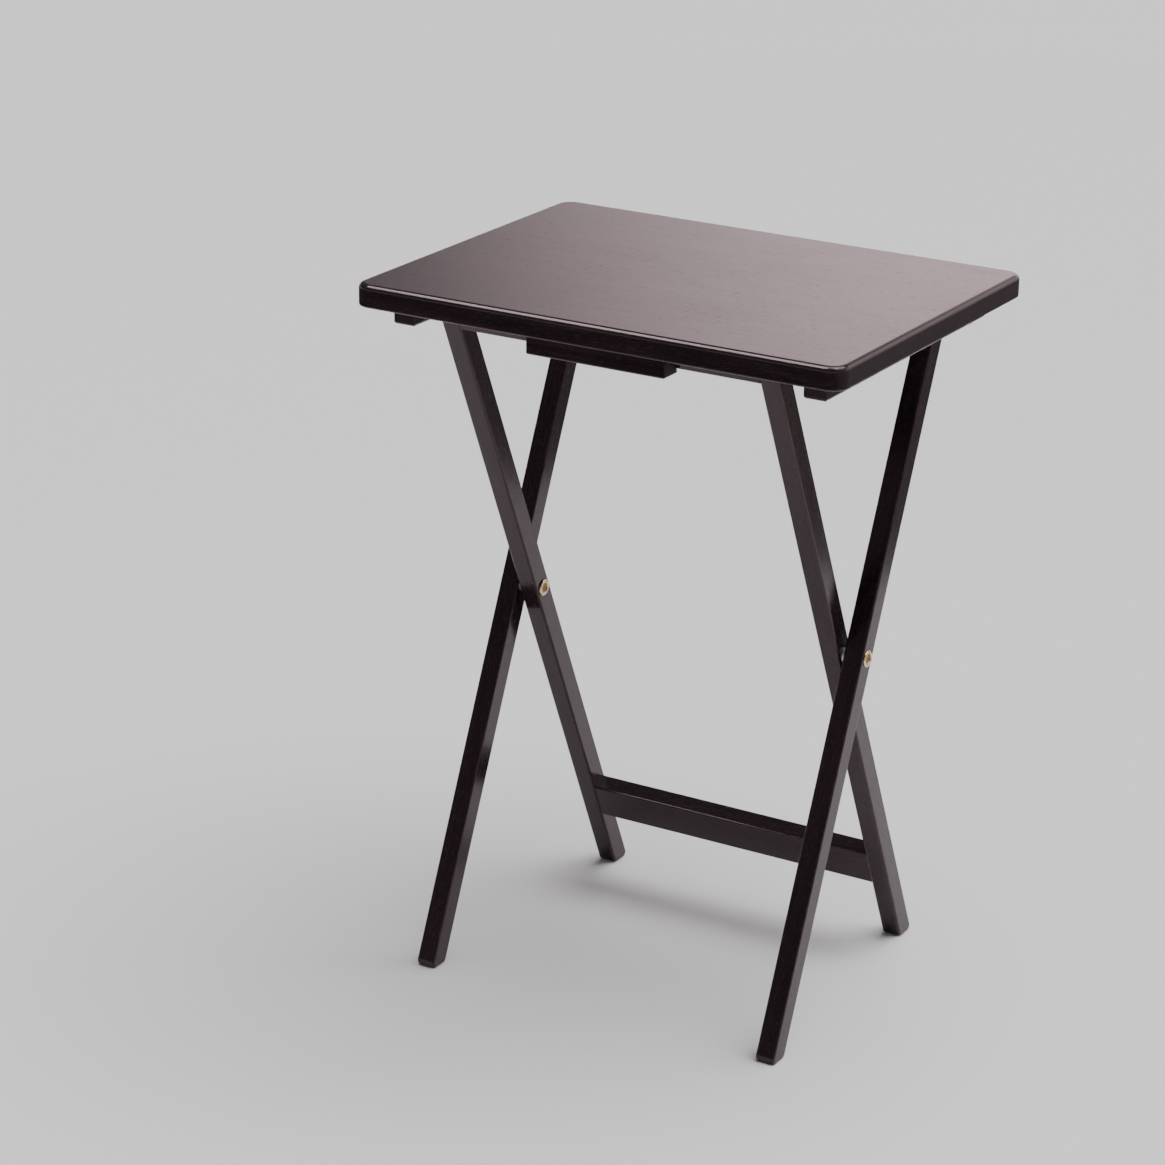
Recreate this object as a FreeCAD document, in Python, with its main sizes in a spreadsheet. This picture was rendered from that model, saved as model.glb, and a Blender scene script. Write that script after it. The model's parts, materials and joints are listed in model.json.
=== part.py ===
import FreeCAD, Part
import os
import re
import Sketcher
from FreeCAD import Placement, Rotation, Vector

# Folding tray table in lacquered wood: a tray with two side cleats and a front batten,
# carried by two crossed pairs of legs. All sizes are in millimetres.
#
# X runs along the long side of the tray, -Y is the front and +Z is up. The origin is
# on the floor under the middle of the tray.
#
# The outer legs stand at the front. At their tops, at the rear, a round rod joins them
# and hinge bolts carry the cleats. The inner legs stand at the rear, and their top rail
# carries the front of the tray, held behind the batten. The two pairs turn on one axis,
# the crossing. Each pair is drawn in its own frame: origin on the crossing axis, Z along
# the leg, leaned about X.

doc = FreeCAD.newDocument("FoldingTrayTable")
sheet = doc.addObject("Spreadsheet::Sheet", "Sizes")

# alias, value, what it is
SIZES = [
    ("table_height", 660, "floor to tray surface"),
    ("panel_length", 482, "tray panel along X"),
    ("panel_width", 362, "tray panel along Y"),
    ("panel_thick", 21, "tray panel thickness"),
    ("panel_corner", 16, "panel corner radius seen from above"),
    ("panel_top_round", 5, "round on the panel's upper edge"),
    ("panel_under_round", 2, "round on the panel's lower edge"),
    ("leg_width", 19, "leg section along X"),
    ("leg_depth", 21, "leg section from front to rear"),
    ("leg_round", 2, "rounding of the leg edges"),
    ("foot_round", 5, "rounding of the feet, front and rear"),
    ("crossing_height", 338.4, "crossing axis above the floor"),
    ("crossing_offset", -4.2, "crossing axis along Y"),
    ("leg_gap", 3, "between an inner and an outer leg"),
    ("cleat_gap", 3.5, "between an outer leg and its cleat"),
    ("rest_gap", 0.3, "between parts that rest on or slide past each other"),
    ("run_fit", 0.05, "radial play round a turning bolt"),
    ("cleat_width", 21.5, "cleat along X"),
    ("cleat_height", 19, "cleat below the panel"),
    ("cleat_front", 28, "cleat's end from the front edge"),
    ("cleat_rear", 26, "cleat's end from the rear edge"),
    ("cleat_round", 3, "rounding of the cleat's lower edges"),
    ("side_inset", 26, "cleats from the ends of the panel"),
    ("hinge_inset", 60.1, "hinge axis from the rear edge"),
    ("hinge_clear", 1, "between the outer legs' round tops and the panel"),
    ("batten_length", 138, "front batten along X"),
    ("batten_height", 19.5, "front batten below the panel"),
    ("batten_front", 12.6, "front batten from the front edge"),
    ("batten_thick", 14.5, "front batten where it meets the panel"),
    ("batten_round", 2, "rounding of the batten's outer edges"),
    ("batten_play", 0.5, "between the batten and the top rail"),
    ("top_rail_height", 17, "top rail's front face along the leg"),
    ("top_rail_thick", 18, "top rail from front to rear"),
    ("stretcher_height", 38, "low stretcher along the leg"),
    ("stretcher_thick", 18.5, "low stretcher from front to rear"),
    ("stretcher_level", 84, "middle of the low stretcher above the floor"),
    ("hinge_rod_size", 16, "hinge rod diameter"),
    ("rail_round", 1.5, "rounding of the rails' long edges"),
    ("dowel_size", 8, "stretcher dowel diameter"),
    ("dowel_pitch", 20, "between the stretcher's dowels"),
    ("small_dowel_size", 6, "top rail dowel diameter"),
    ("small_dowel_inset", 7.5, "top rail dowel from the front face"),
    ("dowel_deep", 12, "dowel into the leg"),
    ("dowel_long", 30, "dowel length"),
    ("screw_size", 4, "wood screw shank diameter"),
    ("screw_head", 8, "wood screw head diameter"),
    ("screw_head_deep", 2, "wood screw head depth"),
    ("screw_bite", 12, "wood screw into the panel"),
    ("cleat_screw_inset", 32, "cleat screws from the front end and from the hinge"),
    ("batten_screw_pitch", 90, "between the batten's screws"),
    ("batten_screw_inset", 8, "batten screws from its front face"),
    ("cap_size", 15.5, "crossing cap diameter"),
    ("cap_thick", 1.5, "crossing cap thickness"),
    ("cap_round", 0.9, "rounding of the crossing caps"),
    ("dimple_size", 5, "dimple diameter in a cap or bolt head"),
    ("dimple_deep", 0.6, "dimple depth in a cap or bolt head"),
    ("barrel_size", 8, "crossing barrel diameter"),
    ("barrel_short", 2, "barrel's end short of the inner face"),
    ("stud_size", 5, "cap stud diameter"),
    ("stud_long", 12, "cap stud length"),
    ("washer_size", 16, "washer diameter"),
    ("hinge_bolt_size", 6, "hinge bolt shank diameter"),
    ("hinge_head_size", 13, "hinge bolt head diameter"),
    ("hinge_head_thick", 2.6, "hinge bolt head thickness"),
    ("hinge_head_round", 1.6, "rounding of the hinge bolt heads"),
    ("hinge_bolt_deep", 14, "hinge bolt into the hinge rod"),
    ("insert_size", 10, "threaded insert diameter"),
    ("insert_long", 15, "threaded insert length"),
]

for row, (alias, value, note) in enumerate(SIZES, start=1):
    sheet.set(f"A{row}", note)
    sheet.set(f"B{row}", str(value))
    sheet.setAlias(f"B{row}", alias)
doc.recompute()

ALIASES = {alias for alias, _, _ in SIZES}


def bound(formula):
    """A formula of aliases, written as an expression that names the sheet."""
    return re.sub(
        r"[a-z_]+",
        lambda word: f"Sizes.{word[0]}" if word[0] in ALIASES else word[0],
        formula,
    )


def size(formula):
    """The number that a formula of aliases comes to."""
    result = sheet.evalExpression(bound(formula))
    return float(getattr(result, "Value", result))


# Places that several pieces share, as formulas.
UNDERSIDE = "(table_height - panel_thick)"
CLEAT_X = "(panel_length / 2 - side_inset - cleat_width / 2)"
OUTER_FACE = f"({CLEAT_X} - cleat_width / 2 - cleat_gap)"
OUTER_X = f"({OUTER_FACE} - leg_width / 2)"
INNER_X = f"({OUTER_X} - leg_width - leg_gap)"
INNER_FACE = f"({INNER_X} - leg_width / 2)"
CLEAT_FRONT_Y = "(cleat_front - panel_width / 2)"
CLEAT_REAR_Y = "(panel_width / 2 - cleat_rear)"
BATTEN_FRONT_Y = "(batten_front - panel_width / 2)"
BATTEN_REAR_Y = f"({BATTEN_FRONT_Y} + batten_thick)"
HINGE_Y = "(panel_width / 2 - hinge_inset)"
HINGE_DROP = "(leg_depth / 2 + hinge_clear)"
HINGE_Z = f"({UNDERSIDE} - {HINGE_DROP})"

# The outer legs lean so that they reach from the crossing to the hinge.
HINGE_RISE = f"({HINGE_Z} - crossing_height)"
OUTER_LEAN = f"atan(({HINGE_Y} - crossing_offset) / {HINGE_RISE})"
HINGE_REACH = f"({HINGE_RISE} / cos({OUTER_LEAN}))"
OUTER_FOOT_REACH = f"(-crossing_height / cos({OUTER_LEAN}))"
OUTER_SLOPE = f"(leg_depth / 2 * tan({OUTER_LEAN}))"

# The inner legs lean so that their front faces meet the batten's rear face, which is
# parallel to them.
BATTEN_RISE = f"({UNDERSIDE} - crossing_height)"
BATTEN_RUN = f"(crossing_offset - {BATTEN_REAR_Y})"
INNER_LEAN = (
    f"(acos((leg_depth / 2 + batten_play) / sqrt({BATTEN_RISE}^2 + {BATTEN_RUN}^2))"
    f" - atan({BATTEN_RISE} / {BATTEN_RUN}))"
)
TOP_REACH = f"(({BATTEN_RISE} - rest_gap) / cos({INNER_LEAN}))"
INNER_FOOT_REACH = f"(-crossing_height / cos({INNER_LEAN}))"
INNER_SLOPE = f"(leg_depth / 2 * tan({INNER_LEAN}))"
TOP_FRONT_REACH = f"({TOP_REACH} + {INNER_SLOPE})"
STRETCHER_REACH = f"((stretcher_level - crossing_height) / cos({INNER_LEAN}))"
SMALL_DOWEL_Y = "(small_dowel_inset - leg_depth / 2)"
SMALL_DOWEL_REACH = f"({TOP_FRONT_REACH} - top_rail_height * 2 / 3)"

CLEAT_SCREW_YS = (
    f"({CLEAT_FRONT_Y} + cleat_screw_inset)",
    f"(({CLEAT_FRONT_Y} + {HINGE_Y}) / 2)",
    f"({HINGE_Y} - cleat_screw_inset)",
)
BATTEN_SCREW_Y = f"({BATTEN_FRONT_Y} + batten_screw_inset)"

SIDES = (("left", -1), ("right", 1))
BOTH_WAYS = (-1, 1)


# ------------------------------------------------------------------ helpers


def place(item, x="0", y="0", z="0", turn="0", axis=(1, 0, 0)):
    """Binds an item's placement to the sheet: a turn about an axis, then a shift."""
    item.Placement = Placement(Vector(), Rotation(Vector(*axis), size(turn)))
    if size(turn):
        item.setExpression("Placement.Rotation.Angle", bound(turn))
    for letter, formula in zip("xyz", (x, y, z)):
        item.setExpression(f"Placement.Base.{letter}", bound(formula))


def new_body(label, **at):
    body = doc.addObject("PartDesign::Body", label)
    body.Label = label
    place(body, **at)
    return body


def leg_frame(lean):
    """The placement of a piece drawn in a leg pair's frame."""
    return {"y": "crossing_offset", "z": "crossing_height", "turn": lean}


def blank_sketch(body, plane, offset="0"):
    """An empty sketch on one of the body's own planes, shifted along its normal."""
    sketch = body.newObject("Sketcher::SketchObject", f"{body.Label}_outline")
    origin = [f for f in body.Origin.OriginFeatures if f.Role == f"{plane}_Plane"][0]
    sketch.AttachmentSupport = (origin, [""])
    sketch.MapMode = "FlatFace"
    sketch.setExpression("AttachmentOffset.Base.z", bound(offset))
    return sketch


def pin(sketch, kind, curve, point, formula):
    """Holds one coordinate of a sketch point, measured from the sketch's origin."""
    index = sketch.addConstraint(
        Sketcher.Constraint(kind, -1, 1, curve, point, size(formula))
    )
    sketch.setExpression(f"Constraints[{index}]", bound(formula))


def outline(body, plane, corners):
    """A closed straight-sided sketch whose corners are pairs of formulas."""
    sketch = blank_sketch(body, plane)
    points = [Vector(size(u), size(v), 0) for u, v in corners]
    ends = points[1:] + points[:1]
    for start, end in zip(points, ends):
        sketch.addGeometry(Part.LineSegment(start, end), False)
    for side in range(len(points)):
        following = (side + 1) % len(points)
        sketch.addConstraint(Sketcher.Constraint("Coincident", side, 2, following, 1))
    for side, (u, v) in enumerate(corners):
        pin(sketch, "DistanceX", side, 1, u)
        pin(sketch, "DistanceY", side, 1, v)
    return sketch


def circles(body, plane, rounds, offset="0"):
    """A sketch of circles, each given by its centre and its diameter."""
    sketch = blank_sketch(body, plane, offset)
    for u, v, across in rounds:
        centre = Vector(size(u), size(v), 0)
        circle = Part.Circle(centre, Vector(0, 0, 1), size(across) / 2)
        curve = sketch.addGeometry(circle, False)
        pin(sketch, "DistanceX", curve, 3, u)
        pin(sketch, "DistanceY", curve, 3, v)
        index = sketch.addConstraint(
            Sketcher.Constraint("Diameter", curve, size(across))
        )
        sketch.setExpression(f"Constraints[{index}]", bound(across))
    return sketch


def pad(body, sketch, length, centred=True):
    made = body.newObject("PartDesign::Pad", f"{body.Label}_pad")
    made.Profile = sketch
    made.SideType = "Symmetric" if centred else "One side"
    made.setExpression("Length", bound(length))
    doc.recompute()
    return made


def drill(body, plane, holes, depth=None, start="0", forward=True):
    """Bores holes: right through, or from start to a depth along the plane's normal
    or against it."""
    sketch = circles(body, plane, holes, start)
    before = body.Shape.Volume
    made = body.newObject("PartDesign::Pocket", f"{body.Label}_bore")
    made.Profile = sketch
    if depth is None:
        made.Type = "ThroughAll"
        made.SideType = "Symmetric"
    else:
        made.setExpression("Length", bound(depth))
        made.Reversed = forward
    doc.recompute()
    if body.Shape.Volume > before - 1:
        raise ValueError(f"{body.Label}: a bore cut nothing")
    return made


def soften(body, radius, wanted):
    """Rounds the edges of the body that pass the test."""
    tip = body.Tip
    names = [
        f"Edge{number}"
        for number, edge in enumerate(tip.Shape.Edges, start=1)
        if wanted(edge)
    ]
    made = body.newObject("PartDesign::Fillet", f"{body.Label}_round")
    made.Base = (tip, names)
    made.setExpression("Radius", bound(radius))
    doc.recompute()
    return made


def runs_along(edge, axis):
    """True if the edge is straight and parallel to an axis."""
    ends = edge.Vertexes
    if len(ends) < 2:
        return False
    run = ends[1].Point - ends[0].Point
    return run.Length > 0 and run.cross(Vector(*axis)).Length < 1e-6 * run.Length


def lies_at(edge, letter, level):
    """True if the whole edge lies in the plane at this level of a coordinate."""
    low = getattr(edge.BoundBox, f"{letter}Min")
    high = getattr(edge.BoundBox, f"{letter}Max")
    return abs(low - level) < 1e-4 and abs(high - level) < 1e-4


def turned(label, profile, side, x, y, z):
    """A turned piece: a profile of distance along the axis and radius. The axis
    points to +X on the right, and to -X on the left."""
    body = new_body(
        label, x=x, y=y, z=z, turn="0" if side > 0 else "180", axis=(0, 0, 1)
    )
    sketch = outline(body, "XY", profile)
    made = body.newObject("PartDesign::Revolution", f"{body.Label}_turning")
    made.Profile = sketch
    made.ReferenceAxis = (sketch, ["H_Axis"])
    made.Angle = 360
    doc.recompute()
    return body


def ring(label, x, y, z, outer, inner, thick):
    """A washer or sleeve that is thick along X, centred at x."""
    body = new_body(label, x=x, y=y, z=z)
    pad(body, circles(body, "YZ", [("0", "0", outer), ("0", "0", inner)]), thick)
    return body


def peg(name, across, length, **at):
    """A plain round peg, drawn along Z and then placed."""
    made = doc.addObject("Part::Cylinder", name)
    made.setExpression("Radius", bound(f"{across} / 2"))
    made.setExpression("Height", bound(length))
    place(made, **at)
    return made


def screw(name, length, **at):
    """A flat-headed wood screw with its head at the origin, pointing to +Z."""
    shank = peg(f"{name}_shank", "screw_size", length)
    head = peg(f"{name}_head", "screw_head", "screw_head_deep")
    made = doc.addObject("Part::Fuse", name)
    made.Base = head
    made.Tool = shank
    place(made, **at)
    return made


def group(label, pieces):
    """Like pieces kept together as one node of separate solids."""
    made = doc.addObject("Part::Compound", label)
    made.Label = label
    made.Links = pieces
    return made


def times(side, formula):
    return formula if side > 0 else f"-{formula}"


def in_leg_frame(lean, y, reach):
    """The world Y and Z of a point given in a leg pair's frame."""
    return {
        "y": f"crossing_offset + {y} * cos({lean}) - {reach} * sin({lean})",
        "z": f"crossing_height + {y} * sin({lean}) + {reach} * cos({lean})",
    }


# ------------------------------------------------------------------ tray


def make_tray_panel():
    body = new_body("tray_panel", z=UNDERSIDE)
    half_x = "(panel_length / 2)"
    half_y = "(panel_width / 2)"
    corners = [
        (f"-{half_x}", f"-{half_y}"),
        (half_x, f"-{half_y}"),
        (half_x, half_y),
        (f"-{half_x}", half_y),
    ]
    pad(body, outline(body, "XY", corners), "panel_thick", centred=False)
    soften(body, "panel_corner", lambda edge: runs_along(edge, (0, 0, 1)))
    thick = size("panel_thick")
    soften(body, "panel_top_round", lambda edge: lies_at(edge, "Z", thick))
    soften(body, "panel_under_round", lambda edge: lies_at(edge, "Z", 0))
    pilots = [
        (times(side, CLEAT_X), y, "screw_size")
        for _, side in SIDES
        for y in CLEAT_SCREW_YS
    ]
    pilots += [
        (times(side, "(batten_screw_pitch / 2)"), BATTEN_SCREW_Y, "screw_size")
        for side in BOTH_WAYS
    ]
    drill(body, "XY", pilots, "screw_bite")
    return body


def make_cleat(name, side):
    body = new_body(f"{name}_cleat", x=times(side, CLEAT_X), z=UNDERSIDE)
    corners = [
        (CLEAT_FRONT_Y, "-cleat_height"),
        (CLEAT_REAR_Y, "-cleat_height"),
        (CLEAT_REAR_Y, "0"),
        (CLEAT_FRONT_Y, "0"),
    ]
    pad(body, outline(body, "YZ", corners), "cleat_width")
    foot = -size("cleat_height")
    soften(body, "cleat_round", lambda edge: lies_at(edge, "Z", foot))
    bore = "hinge_bolt_size + 2 * run_fit"
    drill(body, "YZ", [(HINGE_Y, f"-{HINGE_DROP}", bore)])
    shanks = [("0", y, "screw_size") for y in CLEAT_SCREW_YS]
    heads = [("0", y, "screw_head") for y in CLEAT_SCREW_YS]
    drill(body, "XY", shanks)
    drill(body, "XY", heads, "screw_head_deep", start="-cleat_height")
    return body


def make_front_batten():
    """Its rear face is parallel to the inner legs, so that it hooks the top rail."""
    body = new_body("front_batten", z=UNDERSIDE)
    rear_foot = f"({BATTEN_REAR_Y} + batten_height * tan({INNER_LEAN}))"
    corners = [
        (BATTEN_FRONT_Y, "-batten_height"),
        (rear_foot, "-batten_height"),
        (BATTEN_REAR_Y, "0"),
        (BATTEN_FRONT_Y, "0"),
    ]
    pad(body, outline(body, "YZ", corners), "batten_length")
    foot = -size("batten_height")
    front = size(BATTEN_FRONT_Y)

    def outer_edge(edge):
        upright = lies_at(edge, "Y", front) and runs_along(edge, (0, 0, 1))
        return upright or lies_at(edge, "Z", foot)

    soften(body, "batten_round", outer_edge)
    places = [times(side, "(batten_screw_pitch / 2)") for side in BOTH_WAYS]
    drill(body, "XY", [(x, BATTEN_SCREW_Y, "screw_size") for x in places])
    heads = [(x, BATTEN_SCREW_Y, "screw_head") for x in places]
    drill(body, "XY", heads, "screw_head_deep", start="-batten_height")
    return body


def make_tray_screws():
    cleat_screws = [
        screw(
            f"cleat_screw_{name}_{number}",
            "cleat_height + screw_bite",
            x=times(side, CLEAT_X),
            y=y,
            z=f"{UNDERSIDE} - cleat_height",
        )
        for name, side in SIDES
        for number, y in enumerate(CLEAT_SCREW_YS, start=1)
    ]
    batten_screws = [
        screw(
            f"batten_screw_{name}",
            "batten_height + screw_bite",
            x=times(side, "(batten_screw_pitch / 2)"),
            y=BATTEN_SCREW_Y,
            z=f"{UNDERSIDE} - batten_height",
        )
        for name, side in SIDES
    ]
    return [
        group("cleat_screws", cleat_screws),
        group("batten_screws", batten_screws),
    ]


# ------------------------------------------------------------------ legs


def foot_edge(edge):
    """True for a leg's front and rear edge at the floor."""
    return runs_along(edge, (1, 0, 0)) and edge.BoundBox.ZMax < 0


def top_edge(edge):
    return runs_along(edge, (1, 0, 0)) and edge.BoundBox.ZMin > 0


def side_edge(edge):
    """True for an edge of a leg's left or right face."""
    half = size("leg_width") / 2
    return lies_at(edge, "X", half) or lies_at(edge, "X", -half)


# ------------------------------------------------------------------ outer frame


def make_outer_leg(name, side):
    """Cut level at the floor, and round about the hinge at the top."""
    body = new_body(
        f"{name}_outer_leg", x=times(side, OUTER_X), **leg_frame(f"-{OUTER_LEAN}")
    )
    corners = [
        ("-leg_depth / 2", f"{OUTER_FOOT_REACH} - {OUTER_SLOPE}"),
        ("leg_depth / 2", f"{OUTER_FOOT_REACH} + {OUTER_SLOPE}"),
        ("leg_depth / 2", HINGE_REACH),
        ("-leg_depth / 2", HINGE_REACH),
    ]
    pad(body, outline(body, "YZ", corners), "leg_width")
    pad(body, circles(body, "YZ", [("0", HINGE_REACH, "leg_depth")]), "leg_width")
    soften(body, "foot_round", foot_edge)
    soften(body, "leg_round", side_edge)
    drill(body, "YZ", [("0", "0", "barrel_size"), ("0", HINGE_REACH, "hinge_bolt_size")])
    return body


def make_hinge_rod():
    """A round rod between the tops of the outer legs, on the hinge axis. It ties the
    outer legs together, and stops the inner legs when the table is closed."""
    body = new_body("hinge_rod", y=HINGE_Y, z=HINGE_Z)
    span = f"2 * ({OUTER_X} - leg_width / 2)"
    pad(body, circles(body, "YZ", [("0", "0", "hinge_rod_size")]), span)
    for _, side in SIDES:
        start = times(side, f"({OUTER_X} - leg_width / 2)")
        bore = [("0", "0", "insert_size")]
        drill(body, "YZ", bore, "insert_long", start=start, forward=side < 0)
    return body


# ------------------------------------------------------------------ inner frame


def make_inner_leg(name, side):
    """Cut level at the floor and under the tray."""
    body = new_body(
        f"{name}_inner_leg", x=times(side, INNER_X), **leg_frame(INNER_LEAN)
    )
    corners = [
        ("-leg_depth / 2", f"{INNER_FOOT_REACH} + {INNER_SLOPE}"),
        ("leg_depth / 2", f"{INNER_FOOT_REACH} - {INNER_SLOPE}"),
        ("leg_depth / 2", f"{TOP_REACH} - {INNER_SLOPE}"),
        ("-leg_depth / 2", TOP_FRONT_REACH),
    ]
    pad(body, outline(body, "YZ", corners), "leg_width")
    soften(body, "foot_round", foot_edge)
    soften(body, "leg_round", lambda edge: side_edge(edge) or top_edge(edge))
    drill(body, "YZ", [("0", "0", "barrel_size + 2 * run_fit")])
    dowels = [
        ("0", f"{STRETCHER_REACH} {sign} dowel_pitch / 2", "dowel_size")
        for sign in "-+"
    ]
    dowels.append((SMALL_DOWEL_Y, SMALL_DOWEL_REACH, "small_dowel_size"))
    inside = times(-side, "leg_width / 2")
    drill(body, "YZ", dowels, "dowel_deep", start=inside, forward=side > 0)
    return body


def drill_rail_ends(body, holes):
    """Dowel holes in both ends of a rail between the inner legs."""
    depth = "dowel_long - dowel_deep"
    for _, side in SIDES:
        start = times(side, INNER_FACE)
        drill(body, "YZ", holes, depth, start=start, forward=side < 0)


def make_top_rail():
    """Flush with the front of the inner legs, and level under the tray."""
    body = new_body("top_rail", **leg_frame(INNER_LEAN))
    rear = "(top_rail_thick - leg_depth / 2)"
    low = f"({TOP_FRONT_REACH} - top_rail_height)"
    corners = [
        ("-leg_depth / 2", low),
        (rear, low),
        (rear, f"{TOP_FRONT_REACH} - top_rail_thick * tan({INNER_LEAN})"),
        ("-leg_depth / 2", TOP_FRONT_REACH),
    ]
    pad(body, outline(body, "YZ", corners), f"2 * {INNER_FACE}")
    soften(body, "rail_round", lambda edge: runs_along(edge, (1, 0, 0)))
    drill_rail_ends(body, [(SMALL_DOWEL_Y, SMALL_DOWEL_REACH, "small_dowel_size")])
    return body


def make_low_stretcher():
    body = new_body("low_stretcher", **leg_frame(INNER_LEAN))
    low = f"({STRETCHER_REACH} - stretcher_height / 2)"
    high = f"({STRETCHER_REACH} + stretcher_height / 2)"
    corners = [
        ("-stretcher_thick / 2", low),
        ("stretcher_thick / 2", low),
        ("stretcher_thick / 2", high),
        ("-stretcher_thick / 2", high),
    ]
    pad(body, outline(body, "YZ", corners), f"2 * {INNER_FACE}")
    soften(body, "rail_round", lambda edge: runs_along(edge, (1, 0, 0)))
    holes = [
        ("0", f"{STRETCHER_REACH} {sign} dowel_pitch / 2", "dowel_size")
        for sign in "-+"
    ]
    drill_rail_ends(body, holes)
    return body


def rail_dowel(name, side, across, y, reach):
    """A dowel along X that joins one end of a rail to its inner leg."""
    left_end = f"-{INNER_FACE} - dowel_deep"
    right_end = f"{INNER_FACE} + dowel_deep - dowel_long"
    return peg(
        name,
        across,
        "dowel_long",
        x=right_end if side > 0 else left_end,
        turn="90",
        axis=(0, 1, 0),
        **in_leg_frame(INNER_LEAN, y, reach),
    )


def make_dowels():
    rail_dowels = [
        rail_dowel(
            f"top_rail_dowel_{name}",
            side,
            "small_dowel_size",
            SMALL_DOWEL_Y,
            SMALL_DOWEL_REACH,
        )
        for name, side in SIDES
    ]
    stretcher_dowels = [
        rail_dowel(
            f"stretcher_dowel_{name}_{number}",
            side,
            "dowel_size",
            "0",
            f"({STRETCHER_REACH} {sign} dowel_pitch / 2)",
        )
        for name, side in SIDES
        for number, sign in enumerate("-+", start=1)
    ]
    return [
        group("top_rail_dowels", rail_dowels),
        group("stretcher_dowels", stretcher_dowels),
    ]


# ------------------------------------------------------------------ bolts


def round_cap(body, thick, radius):
    """Rounds the outer edge of a turned cap or head."""
    face = size(thick)
    wide = size("dimple_size") / 2 + 0.1

    def rim(edge):
        return lies_at(edge, "X", face) and edge.BoundBox.YMax > wide

    return soften(body, radius, rim)


def cap_face(across, thick):
    """The cap's part of a turned profile, from its rim to the axis."""
    return [
        ("0", f"{across} / 2"),
        (thick, f"{across} / 2"),
        (thick, "dimple_size / 2"),
        (f"{thick} - dimple_deep", "0"),
    ]


def make_crossing_barrel(name, side):
    """A capped barrel through both legs, fixed in the outer one."""
    tip = "(barrel_short - 2 * leg_width - leg_gap)"
    profile = [
        (f"{tip} + stud_long", "0"),
        (f"{tip} + stud_long", "stud_size / 2"),
        (tip, "stud_size / 2"),
        (tip, "barrel_size / 2"),
        ("0", "barrel_size / 2"),
    ] + cap_face("cap_size", "cap_thick")
    body = turned(
        f"{name}_crossing_barrel",
        profile,
        side,
        x=times(side, OUTER_FACE),
        y="crossing_offset",
        z="crossing_height",
    )
    round_cap(body, "cap_thick", "cap_round")
    return body


def make_crossing_cap(name, side):
    """A cap with a stud, screwed into the barrel from inside the table."""
    profile = [
        ("-stud_long", "0"),
        ("-stud_long", "stud_size / 2"),
        ("0", "stud_size / 2"),
    ] + cap_face("cap_size", "cap_thick")
    body = turned(
        f"{name}_crossing_cap",
        profile,
        -side,
        x=times(side, f"({INNER_FACE} - rest_gap)"),
        y="crossing_offset",
        z="crossing_height",
    )
    round_cap(body, "cap_thick", "cap_round")
    return body


def make_crossing_washer(name, side):
    thick = "(leg_gap - rest_gap)"
    return ring(
        f"{name}_crossing_washer",
        times(side, f"({OUTER_X} - leg_width / 2 - {thick} / 2)"),
        "crossing_offset",
        "crossing_height",
        "washer_size",
        "barrel_size",
        thick,
    )


def make_hinge_bolt(name, side):
    """Runs in the cleat, and clamps the outer leg to the hinge rod."""
    tip = "(-rest_gap - cleat_width - cleat_gap - leg_width - hinge_bolt_deep)"
    profile = [
        (tip, "0"),
        (tip, "hinge_bolt_size / 2"),
        ("0", "hinge_bolt_size / 2"),
    ] + cap_face("hinge_head_size", "hinge_head_thick")
    body = turned(
        f"{name}_hinge_bolt",
        profile,
        side,
        x=times(side, f"({CLEAT_X} + cleat_width / 2 + rest_gap)"),
        y=HINGE_Y,
        z=HINGE_Z,
    )
    round_cap(body, "hinge_head_thick", "hinge_head_round")
    return body


def make_hinge_washer(name, side):
    thick = "(cleat_gap - rest_gap)"
    return ring(
        f"{name}_hinge_washer",
        times(side, f"({OUTER_FACE} + {thick} / 2)"),
        HINGE_Y,
        HINGE_Z,
        "washer_size",
        "hinge_bolt_size",
        thick,
    )


def make_hinge_insert(name, side):
    return ring(
        f"{name}_hinge_insert",
        times(side, f"({OUTER_X} - leg_width / 2 - insert_long / 2)"),
        HINGE_Y,
        HINGE_Z,
        "insert_size",
        "hinge_bolt_size",
        "insert_long",
    )


# ------------------------------------------------------------------ build

nodes = [make_tray_panel(), make_front_batten(), make_hinge_rod(), make_top_rail()]
nodes += [make_low_stretcher()]
nodes += make_tray_screws() + make_dowels()
for side_name, side_sign in SIDES:
    for make in (
        make_cleat,
        make_outer_leg,
        make_inner_leg,
        make_crossing_barrel,
        make_crossing_cap,
        make_crossing_washer,
        make_hinge_bolt,
        make_hinge_washer,
        make_hinge_insert,
    ):
        nodes.append(make(side_name, side_sign))
doc.recompute()

for item in doc.Objects:
    if {"Invalid", "Error"} & set(item.State):
        raise ValueError(f"{item.Label}: {item.State}")
for node in nodes:
    if node.Shape.isNull() or not node.Shape.isValid():
        raise ValueError(f"{node.Label}: bad shape")

os.makedirs("parts", exist_ok=True)
for node in nodes:
    node.Shape.exportStep(f"parts/{node.Label}.step")
    box = node.Shape.BoundBox
    print(
        f"{node.Label}: {len(node.Shape.Solids)} solids, {node.Shape.Volume:.0f} mm3, "
        f"x {box.XMin:.1f}..{box.XMax:.1f}, y {box.YMin:.1f}..{box.YMax:.1f}, "
        f"z {box.ZMin:.1f}..{box.ZMax:.1f}"
    )
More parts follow.
